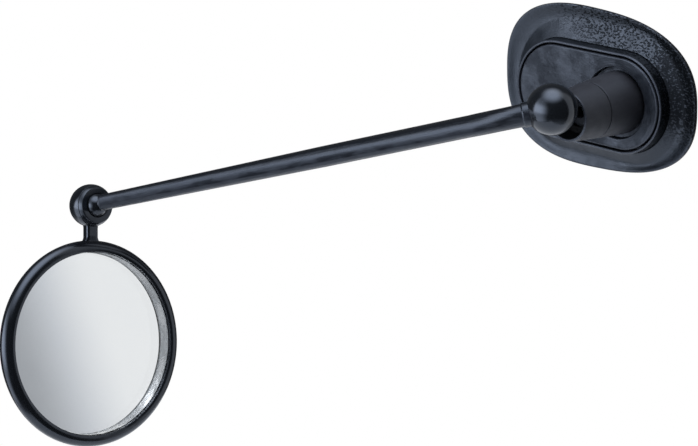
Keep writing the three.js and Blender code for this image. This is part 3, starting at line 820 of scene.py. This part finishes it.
def base_plate():
    """Plate with round ends, with a sunken ring for the turret and a shallow dish round it"""
    centre = turret_x
    rings = []
    for h in np.linspace(web_bottom, recess_floor - BORE_CHAMFER, PLATE_ROWS["bore"]):
        rings.append(ring(PLATE_BORE, h, centre))
    rings.append(ring(PLATE_BORE + BORE_CHAMFER, recess_floor, centre))
    for r in np.linspace(PLATE_BORE + BORE_CHAMFER * 3, RECESS_RADIUS - RECESS_ROUND, PLATE_ROWS["recess"]):
        rings.append(ring(r, recess_floor, centre))
    for turn in bend(math.pi / 2, PLATE_ROWS["corner"]):
        r = RECESS_RADIUS - RECESS_ROUND * (1 - math.sin(turn))
        rings.append(ring(r, recess_floor + RECESS_ROUND * (1 - math.cos(turn)), centre))
    wall_start = recess_floor + RECESS_ROUND + BORE_CHAMFER
    for h in np.linspace(wall_start, plate_top - PLATE_EDGE_ROUND, PLATE_ROWS["bore"]):
        rings.append(ring(RECESS_RADIUS, h, centre))
    for turn in [0, *bend(math.pi / 2, PLATE_ROWS["lip"])]:
        r = RECESS_RADIUS + RECESS_LIP * (1 - math.cos(turn))
        rings.append(ring(r, plate_top - RECESS_LIP * (1 - math.sin(turn)) - sunk(r), centre))
    inner = RECESS_RADIUS + RECESS_LIP
    outer = stadium(-PLATE_EDGE_ROUND, centre)
    for s in shares(PLATE_ROWS["face"]):
        r = mixed(inner, outer, s)
        rings.append(ring(r, plate_top - sunk(r), centre))
    for turn in bend(math.pi / 2, PLATE_ROWS["edge"]):
        r = stadium(-PLATE_EDGE_ROUND * (1 - math.sin(turn)), centre)
        drop = PLATE_EDGE_ROUND * (1 - math.cos(turn))
        rings.append(ring(r, plate_top - drop - sunk(outer), centre))
    full = stadium(0, centre)
    side_top = plate_top - PLATE_EDGE_ROUND - sunk(outer)
    for s in shares(PLATE_ROWS["side"]):
        rings.append(ring(full, mixed(side_top, plate_bottom, s), centre))
    for s in shares(PLATE_ROWS["back"]):
        rings.append(ring(mixed(full, CLIP_POCKET_RADIUS, s), plate_bottom, centre))
    for s in shares(PLATE_ROWS["pocket"]):
        rings.append(ring(CLIP_POCKET_RADIUS, mixed(plate_bottom, web_bottom, s), centre))
    rings.append(ring((CLIP_POCKET_RADIUS + PLATE_BORE) / 2, web_bottom, centre))
    points, faces = skin(rings, True)

    def choose(polygon):
        where = polygon.center
        radius = math.hypot(where.x - centre, where.z)
        on_bevel = RECESS_RADIUS - HAIR < radius < inner
        on_edge = radius > DISH_RADIUS - PLATE_EDGE_ROUND and polygon.normal.y > -BEVEL_COSINE
        # The recess's bevel and the plate's outer edge take the painted edge highlight
        return 1 if -where.y > plate_top - BEVEL_DEPTH and (on_bevel or on_edge) else 0

    mesh = mesh_of("hard_plate", points, faces, [plate_skin, edge_highlight_paint], choose)
    show("hard_plate", mesh, "base", ["base_plate"])


def cone(height):
    share = max(0, (height - plate_top) / (TURRET_HEIGHT - plate_top))
    return TURRET_FOOT_RADIUS + (TURRET_MOUTH_RADIUS - TURRET_FOOT_RADIUS) * share


def turret():
    """Drum with its journal, and the sleeve with the open mouth"""
    top = TURRET_SEAM - SEAM_GAP
    core_top = STUD_PEG_END - PEG_ROOM
    journal_end = plate_bottom + SEAM_GAP / 2
    drum = rounded([
        (CORE_RADIUS, journal_end),
        (JOURNAL_RADIUS, journal_end, TURRET_ROUND),
        (JOURNAL_RADIUS, turret_foot),
        (TURRET_FOOT_RADIUS, turret_foot, TURRET_ROUND * 2),
        (TURRET_FOOT_RADIUS, plate_top, TURRET_WAIST_ROUND),
        (cone(top), top, TURRET_ROUND),
        (SPIGOT_RADIUS, top),
        (SPIGOT_RADIUS, SPIGOT_TOP),
        (PEG_HOLE, SPIGOT_TOP),
        (PEG_HOLE, core_top),
        (CORE_RADIUS, core_top),
    ], closed=True)
    mesh = mesh_of("turret_lower", *lathe(drum, TURNS, turret_frame, closed=True), [turret_skin])
    show("turret_lower", mesh, "turret", ["turret_drum"])
    mouth = TURRET_MOUTH_RADIUS - TURRET_WALL
    mouth_floor = TURRET_HEIGHT - MOUTH_DEPTH
    shoulder_top = STUD_FLANGE[1] + SEAM_GAP + SHOULDER_THICKNESS
    bore = SPIGOT_RADIUS + SEAM_GAP / 2
    sleeve = rounded([
        (bore, TURRET_SEAM),
        (cone(TURRET_SEAM), TURRET_SEAM, TURRET_ROUND),
        (TURRET_MOUTH_RADIUS, TURRET_HEIGHT, MOUTH_ROUND),
        (mouth, TURRET_HEIGHT, MOUTH_ROUND),
        (mouth - MOUTH_TAPER, max(mouth_floor, shoulder_top), MOUTH_FLOOR_ROUND),
        (SHOULDER_HOLE, shoulder_top, TURRET_ROUND),
        (SHOULDER_HOLE, shoulder_top - SHOULDER_THICKNESS),
        (bore, shoulder_top - SHOULDER_THICKNESS),
    ], closed=True)

    def choose(polygon):
        where = polygon.center
        # The mouth's edge takes the painted edge highlight
        if -where.y > TURRET_HEIGHT - MOUTH_EDGE_DEPTH:
            return 2
        # The inside of the mouth takes the painted shade
        return 1 if math.hypot(where.x - turret_x, where.z) < mouth - HAIR else 0

    skins = [turret_skin, cavity_shade_paint, edge_highlight_paint]
    mesh = mesh_of("turret_upper", *lathe(sleeve, TURNS, turret_frame, closed=True), skins, choose)
    show("turret_upper", mesh, "turret", ["turret_sleeve"])


def ball_stud():
    """Foot on its peg, and the neck with the ball"""
    foot = rounded([
        (0, STUD_PEG_END),
        (STUD_PEG_RADIUS, STUD_PEG_END, STUD_PEG_ROUND),
        (STUD_PEG_RADIUS, STUD_FLANGE[0]),
        (STUD_FLANGE_RADIUS, STUD_FLANGE[0]),
        (STUD_FLANGE_RADIUS, STUD_FLANGE[1], STUD_FLANGE_ROUND),
        (0, STUD_FLANGE[1]),
    ])
    reach = (stud_foot - ball_place).length
    neck_angle = math.degrees(math.asin(STUD_NECK_RADIUS / STUD_BALL_RADIUS))
    top = arc(STUD_BALL_RADIUS, 180, neck_angle, STUD_ROWS) + rounded([
        (STUD_NECK_RADIUS, STUD_BALL_RADIUS + STUD_NECK_STEP),
        (STUD_NECK_RADIUS, reach),
        (0, reach),
    ])
    meshes = [
        mesh_of("stud_foot", *lathe(foot, ROD_TURNS, turret_frame), [nylon_skin]),
        mesh_of("stud_top", *lathe(top, ROD_TURNS, stud_frame), [nylon_skin]),
    ]
    show("stud", united("stud", meshes), "turret", ["ball_stud"])


def socket_liner():
    inner = arc(LINER_INNER, LINER_MOUTH, 180, LINER_ROWS["inner"])
    outer = arc(LINER_OUTER, 180, LINER_MOUTH, LINER_ROWS["outer"])
    mesh = mesh_of("liner", *lathe(inner + outer, ROD_TURNS, stud_frame, closed=True), [nylon_skin])
    show("liner", mesh, "liner", ["socket_liner"])


def arm_ball():
    """Glossy ball end with a rounded lip round its mouth"""
    outside = arc(BALL_RADIUS, 180, BALL_MOUTH + BALL_EDGE_ANGLE, BALL_ROWS["outer"])
    inside = arc(BALL_POCKET, BALL_LIP + BALL_EDGE_ANGLE, 180, BALL_ROWS["inner"])
    rim = (*on_arc(BALL_RADIUS, BALL_MOUTH), BALL_EDGE_ROUND)
    lip = (*on_arc(BALL_POCKET, BALL_LIP), BALL_EDGE_ROUND)
    edge = rounded([outside[-1], rim, lip, inside[0]])
    profile = outside[:-1] + edge + inside[1:]
    mesh = mesh_of("arm_ball_end", *lathe(profile, BALL_TURNS, stud_frame), [gloss_skin])
    show("arm_ball_end", mesh, "arm", ["arm_ball"])


def arm_rod():
    """Tapered rod with its collar and parting lines, and the tip ball on its side neck"""
    seat = BALL_RADIUS + HAIR
    foot_angle = math.degrees(math.asin(COLLAR_RADIUS / seat))
    body = rounded([
        (COLLAR_RADIUS, seat * math.cos(math.radians(foot_angle))),
        (COLLAR_RADIUS, COLLAR_END, COLLAR_ROUND),
        (ROOT_RADIUS, COLLAR_END + COLLAR_STEP, COLLAR_ROUND),
        (BLADE_RADIUS, BLADE_START, BLADE_ROUND),
        (MIDDLE_RADIUS, ARM_LENGTH * MIDDLE_SHARE, TAPER_ROUND),
        (NEEDLE_RADIUS, ARM_LENGTH * NEEDLE_SHARE, TAPER_ROUND),
        (TIP_RADIUS, ARM_LENGTH, END_ROUND),
        (0, ARM_LENGTH),
    ])
    profile = arc(seat, 0, foot_angle, ROD_ROWS["seat"]) + body[1:]
    width = math.radians(PARTING_WIDTH)

    def section(angle, along, radius):
        """Radius of the flat oval at an angle round the arm, with its parting lines"""
        opening = smoothstep((along - COLLAR_END) / (BLADE_START - COLLAR_END))
        closing = max(0, (along - BLADE_START) / (ARM_LENGTH - BLADE_START))
        breadth = 1 + (BLADE_BREADTH - 1) * opening + (TIP_BREADTH - BLADE_BREADTH) * closing
        flat_oval = radius * breadth / math.hypot(math.cos(angle), breadth * math.sin(angle))
        if not COLLAR_END < along < ARM_LENGTH - END_ROUND * 2:
            return flat_oval
        nearest = abs((angle + math.pi / 2) % math.pi - math.pi / 2)
        return flat_oval + PARTING_HEIGHT * math.exp(-(nearest / width) ** 2)

    neck_end = ball_place + arm_line * (ARM_LENGTH - NECK_START)
    reach = (neck_end - tip_place).length
    neck_angle = math.degrees(math.asin(NECK_RADIUS / TIP_BALL_RADIUS))
    fillet_angle = neck_angle + NECK_FILLET_ANGLE
    fillet = rounded([
        on_arc(TIP_BALL_RADIUS, fillet_angle),
        (*on_arc(TIP_BALL_RADIUS, neck_angle), NECK_FILLET),
        (NECK_RADIUS, reach),
        (0, reach),
    ])
    tip = arc(TIP_BALL_RADIUS, 180, fillet_angle, ROD_ROWS["tip"])[:-1] + fillet
    tip_frame = frame_of(neck_end - tip_place, UP, tip_place)
    skins = [rod_skin, gloss_skin]
    meshes = [
        mesh_of("rod_body", *lathe(profile, ROD_TURNS, arm_frame, swell=section), skins),
        mesh_of("rod_tip", *lathe(tip, ROD_TURNS, tip_frame), skins, lambda polygon: 1),
    ]
    show("rod", united("rod", meshes), "arm", ["arm_rod"])


def zone(x):
    """Radius of the housing's sphere at a place along the mirror's normal"""
    return math.sqrt(HOUSING_RADIUS ** 2 - (x + HOUSING_OFFSET) ** 2)


def socket_cap():
    """Front slice of the housing, with the hole that holds the tip ball"""
    bottom = HOUSING_FACE - CAP_THICKNESS
    rows = np.linspace(bottom, HOUSING_FACE - CAP_ROUND, CAP_ROWS["inner"])
    inner = [(math.sqrt(SOCKET_RADIUS ** 2 - x ** 2), x) for x in rows]
    outer = [(zone(x), x) for x in np.linspace(HOUSING_FACE, bottom, CAP_ROWS["outer"])]
    corners = [(*outer[0], CAP_EDGE_ROUND)] + outer[1:-1] + [(*outer[-1], CAP_SEAM_ROUND)] + inner[:-1]
    corners.append((*inner[-1], CAP_ROUND))
    corners.append((inner[-1][0] + CAP_ROUND, HOUSING_FACE, CAP_ROUND))
    profile = rounded(corners, closed=True)
    mesh = mesh_of("socket_front", *lathe(profile, BALL_TURNS, head_frame, closed=True), [gloss_skin])
    show("socket_front", mesh, "head", ["socket_cap"])


def housing_mesh():
    """Back of the ball socket, open at its seam with the cap"""
    face = HOUSING_FACE - CAP_THICKNESS - CAP_SEAM
    back_end = -HOUSING_OFFSET - HOUSING_RADIUS
    turn = np.radians(np.linspace(0, HOUSING_END, SHELL_ROWS["zone"]))
    rows = -HOUSING_OFFSET - HOUSING_RADIUS * np.cos(turn)
    back = [(zone(x) if x > back_end else 0, x) for x in rows if x < face - SHELL_ROUND]
    cavity_start = math.degrees(math.acos(face / SEAT_CAVITY))
    cavity_end = 180 - math.degrees(math.asin(PLUG_BORE / SEAT_CAVITY))
    front = rounded([back[-1], (zone(face), face, SHELL_ROUND), (SEAT_CAVITY, face)])[1:-1]
    cavity = arc(SEAT_CAVITY, cavity_start, cavity_end, SHELL_ROWS["cavity"])
    bore = [(PLUG_BORE, -PLUG_BACK), (0, -PLUG_BACK)]
    return mesh_of("housing", *lathe(back + front + cavity + bore, BALL_TURNS, head_frame), [gloss_skin])


def dish_mesh():
    """Round rim, the pocket for the glass and the dished back"""
    rim = arc(RIM_RADIUS, -RIM_LIP, 90, SHELL_ROWS["rim"], (rim_middle, 0))
    back_edge = MIRROR_RADIUS - SHELL_BACK_INSET
    curve = [
        (MIRROR_RADIUS, 0),
        (MIRROR_RADIUS, shell_back / 2),
        (rim_middle, shell_back),
        (back_edge, shell_back),
    ]
    behind = []
    for s in shares(SHELL_ROWS["behind"]):
        weights = ((1 - s) ** 3, 3 * s * (1 - s) ** 2, 3 * s * s * (1 - s), s ** 3)
        behind.append(tuple(sum(w * p[k] for w, p in zip(weights, curve)) for k in range(2)))
    pocket = rounded([
        (0, floor_front),
        (pocket_radius, floor_front, POCKET_ROUND),
        (*rim[0], SHELL_ROUND),
        rim[1],
    ])
    flat_back = rounded([behind[-1], (0, shell_back)])
    profile = pocket + rim[2:] + behind + flat_back[1:]
    return mesh_of("dish", *lathe(profile, SKIN_STEPS, mirror_frame), [gloss_skin])


def stem_mesh():
    """Rounded bar from the housing to the rim, flared at both ends"""
    rim_top = MIRROR_DROP - MIRROR_RADIUS
    stem_x = STEM_FORWARD - HOUSING_OFFSET
    start, end = HOUSING_RADIUS - STEM_SINK, rim_top + RIM_RADIUS
    flare = STEM_FOOT_HEIGHT + STEM_FOOT_FLARE
    rings = []
    for down in np.linspace(start, end, SHELL_ROWS["stem"]):
        near = np.clip((down - (rim_top - flare)) / flare, 0, 1)
        near_top = np.clip(1 - (down - start) / STEM_TOP_HEIGHT, 0, 1)
        width = STEM_WIDTH + (STEM_FOOT_WIDTH - STEM_WIDTH) * near ** STEM_FOOT_POWER
        half_width = (width + STEM_TOP_FLARE * near_top ** 2) / 2
        half_depth = (STEM_THICKNESS - STEM_FOOT_THINNING * near) / 2
        row = []
        for angle in np.linspace(0, 2 * math.pi, STEM_TURNS, endpoint=False):
            c, s = math.cos(angle), math.sin(angle)
            size = (abs(c) ** STEM_SQUARENESS + abs(s) ** STEM_SQUARENESS) ** (-1 / STEM_SQUARENESS)
            row.append(head_frame @ Vector((stem_x + half_depth * c * size, half_width * s * size, -down)))
        rings.append(row)
    ends = [head_frame @ Vector((stem_x, 0, -down)) for down in (start, end)]
    return mesh_of("stem", *skin([[ends[0]], *rings, [ends[1]]], False), [gloss_skin])


def mirror_shell():
    """Dish with a round rim, stem and socket housing, in one moulding"""
    mesh = united("shell", [dish_mesh(), stem_mesh(), housing_mesh()])
    show("shell", mesh, "head", ["mirror_shell"])


def mirror_glass():
    """Thick round glass, silvered on its back"""
    profile = rounded([
        (0, glass_front),
        (glass_radius - GLASS_CHAMFER, glass_front),
        (glass_radius, glass_front - GLASS_CHAMFER),
        (glass_radius, glass_back),
        (0, glass_back),
    ])
    inverse = mirror_frame.inverted().to_3x3()

    def choose(polygon):
        normal = inverse @ polygon.normal
        if normal.x < -FACE_COSINE:
            return 2
        return 0 if normal.x > FACE_COSINE else 1

    skins = [glass_skin, glass_edge_skin, silver_skin]
    mesh = mesh_of("glass", *lathe(profile, SKIN_STEPS, mirror_frame), skins, choose)
    show("glass", mesh, "head", ["mirror_glass"])
    smooth(mesh, GLASS_SHARP_ANGLE)


def glass_tape():
    radius = glass_radius - GLASS_TAPE_INSET
    profile = rounded([
        (0, tape_front),
        (radius, tape_front, GLASS_TAPE_ROUND),
        (radius, tape_front - GLASS_TAPE, GLASS_TAPE_ROUND),
        (0, tape_front - GLASS_TAPE),
    ])
    mesh = mesh_of("glass_bond", *lathe(profile, TURNS, mirror_frame), [foam_skin])
    show("glass_bond", mesh, "head", ["glass_tape"])


flexible_pad()
foam_tape()
base_plate()
turret()
ball_stud()
socket_liner()
arm_ball()
arm_rod()
socket_cap()
mirror_shell()
mirror_glass()
glass_tape()

# Pieces that no view shows keep their solids and get a material
hidden_looks = {
    "spring_washer": steel_skin,
    "swivel_clip": steel_skin,
    "seat_cup": nylon_skin,
    "pressure_plug": rubber_skin,
}
for node, material in hidden_looks.items():
    mesh = frame["nodes"][node].data
    mesh.materials.clear()
    mesh.materials.append(material)

# Camera
azimuth = math.radians(CAMERA_AZIMUTH)
elevation = math.radians(CAMERA_ELEVATION)
back = Vector((
    math.sin(azimuth) * math.cos(elevation),
    -math.cos(azimuth) * math.cos(elevation),
    math.sin(elevation),
))
lens = bpy.data.cameras.new("photo_view")
lens.sensor_width = SENSOR_WIDTH
lens.lens = FOCAL_PIXELS * SENSOR_WIDTH / PHOTO_WIDTH
camera = linked("photo_view", lens)
aim = (-back).to_track_quat("-Z", "Y").to_matrix().to_4x4()
camera.matrix_world = Matrix.Translation(LOOK_AT + back * CAMERA_DISTANCE) @ aim
bpy.context.scene.camera = camera

# Studio: bands are (low, high, softness at low, softness at high) and ramps (start, end), in degrees
SIDE_AZIMUTH = 240
CORE_SIDE = (-16, 36, 14, 48)
CORE_HEIGHT = (-8, 22, 14, 20)
CORE_STRENGTH = 3.0
SKIRT_SIDE = (-16, 34, 12, 40)
SKIRT_HEIGHT = (-42, 42, 14, 60)
SKIRT_STRENGTH = 1.9
OVERHEAD = Vector((0.08, -0.10, 0.99)).normalized()
OVERHEAD_REACH = (12, 47)
OVERHEAD_STRENGTH = 4.0
BACKDROP_AZIMUTH = 115
BACKDROP_NEAR = (-87.0, -45, 2.8, 24)
BACKDROP_FAR = (-45, 62, 24, 16)
BACKDROP_FAR_SHARE = 0.04
BACKDROP_TOP = (50, 75)
BACKDROP_STRENGTH = 0.7
BELOW = (-80, -20)
BASE_STRENGTH = 0.05
PALE_IN_GLOSS = 0.25
PALE_IN_GLASS = 0.38
STUDIO_TINT = (0.91, 0.955, 1.04)
WHITE = (1, 1, 1)

# Floor
FLOOR_DROP = -0.25
FLOOR_REACH = 0.24
FLOOR_MIDDLE = (-0.035, -0.055)
FLOOR_GREY = 0.70
FLOOR_ROUGHNESS = 0.9
FLOOR_GLOW = 0.28


class Studio(Look):
    """Nodes of the world"""

    def __init__(self):
        world = bpy.data.worlds.new("studio")
        bpy.context.scene.world = world
        world.use_nodes = True
        self.tree = world.node_tree
        self.shader = self.tree.nodes["Background"]
        self.place = self.add("ShaderNodeTexCoord").outputs["Generated"]

    def azimuth(self, centre):
        """Angle in degrees from a centre azimuth, -180 to 180"""
        inputs = {"Vector": self.place, "Angle": -math.radians(centre)}
        turned = self.add("ShaderNodeVectorRotate", inputs, rotation_type="Z_AXIS").outputs[0]
        across = self.parts(turned)
        return self.math("DEGREES", self.math("ARCTAN2", across["Y"], across["X"]))

    def away(self, direction):
        """Angle in degrees from a direction"""
        inputs = {0: self.place, 1: direction}
        cosine = self.add("ShaderNodeVectorMath", inputs, operation="DOT_PRODUCT").outputs["Value"]
        return self.math("DEGREES", self.math("ARCCOSINE", cosine))

    def elevation(self):
        return self.math("DEGREES", self.math("ARCSINE", self.parts(self.place)["Z"]))

    def band(self, value, low, high, soft_low, soft_high):
        """One between low and high, with soft ends"""
        rise = self.ramp(value, low - soft_low / 2, low + soft_low / 2, 0.0, 1.0)
        fall = self.ramp(value, high - soft_high / 2, high + soft_high / 2, 1.0, 0.0)
        return self.math("MULTIPLY", rise, fall)


studio = Studio()
height = studio.elevation()
side = studio.azimuth(SIDE_AZIMUTH)
core = studio.math("MULTIPLY", studio.band(side, *CORE_SIDE), studio.band(height, *CORE_HEIGHT))
skirt = studio.math("MULTIPLY", studio.band(side, *SKIRT_SIDE), studio.band(height, *SKIRT_HEIGHT))
overhead = studio.ramp(studio.away(OVERHEAD), *OVERHEAD_REACH, 1.0, 0.0)
behind = studio.azimuth(BACKDROP_AZIMUTH)
far_side = studio.math("MULTIPLY", studio.band(behind, *BACKDROP_FAR), BACKDROP_FAR_SHARE)
backdrop = studio.math("ADD", studio.band(behind, *BACKDROP_NEAR), far_side)
backdrop = studio.math("MULTIPLY", backdrop, studio.ramp(height, *BACKDROP_TOP, 1.0, 0.0))
level = studio.math("ADD", studio.ramp(height, *BELOW, 1.0, 0.0), BASE_STRENGTH)
lamps = [
    (core, CORE_STRENGTH),
    (skirt, SKIRT_STRENGTH),
    (overhead, OVERHEAD_STRENGTH),
    (backdrop, BACKDROP_STRENGTH),
]
for lamp, strength in lamps:
    level = studio.math("MULTIPLY_ADD", lamp, strength, level)

# The camera sees plain white, and gloss and glass see some of it
rays = studio.add("ShaderNodeLightPath").outputs
in_gloss = studio.math("MULTIPLY", rays["Is Glossy Ray"], studio.math("MULTIPLY", backdrop, PALE_IN_GLOSS))
in_glass = studio.ramp(backdrop, 0.0, 1.0, PALE_IN_GLASS, PALE_IN_GLOSS)
in_glass = studio.math("MULTIPLY", rays["Is Transmission Ray"], in_glass)
shown = studio.math("ADD", rays["Is Camera Ray"], studio.math("ADD", in_gloss, in_glass))
shown = studio.math("MINIMUM", shown, 1.0)
white = studio.add("ShaderNodeMix", {"Factor": shown, "A": level, "B": 1.0}, data_type="FLOAT")
studio.feed(white.outputs[0], "Strength")
studio.feed(studio.between(studio.math("MAXIMUM", shown, backdrop), STUDIO_TINT, WHITE), "Color")

floor_mesh = bpy.data.meshes.new("floor")
corners = [
    (FLOOR_MIDDLE[0] + x * FLOOR_REACH, FLOOR_MIDDLE[1] + y * FLOOR_REACH, FLOOR_DROP)
    for x, y in ((-1, -1), (1, -1), (1, 1), (-1, 1))
]
floor_mesh.from_pydata(corners, [], [(0, 1, 2, 3)])
floor = linked("floor", floor_mesh)
floor_look = Look(
    "floor_paint", Roughness=FLOOR_ROUGHNESS,
    Base_Color=(FLOOR_GREY, FLOOR_GREY, FLOOR_GREY, 1), Emission_Color=(*WHITE, 1),
)
floor_rays = floor_look.add("ShaderNodeLightPath").outputs
glow = floor_look.math("ADD", floor_rays["Is Glossy Ray"], floor_rays["Is Transmission Ray"])
glow = floor_look.math("ADD", floor_rays["Is Camera Ray"], glow)
floor_look.feed(floor_look.math("MULTIPLY", glow, FLOOR_GLOW), "Emission Strength")
floor_mesh.materials.append(floor_look.material)

bpy.context.scene.view_settings.view_transform = "Standard"
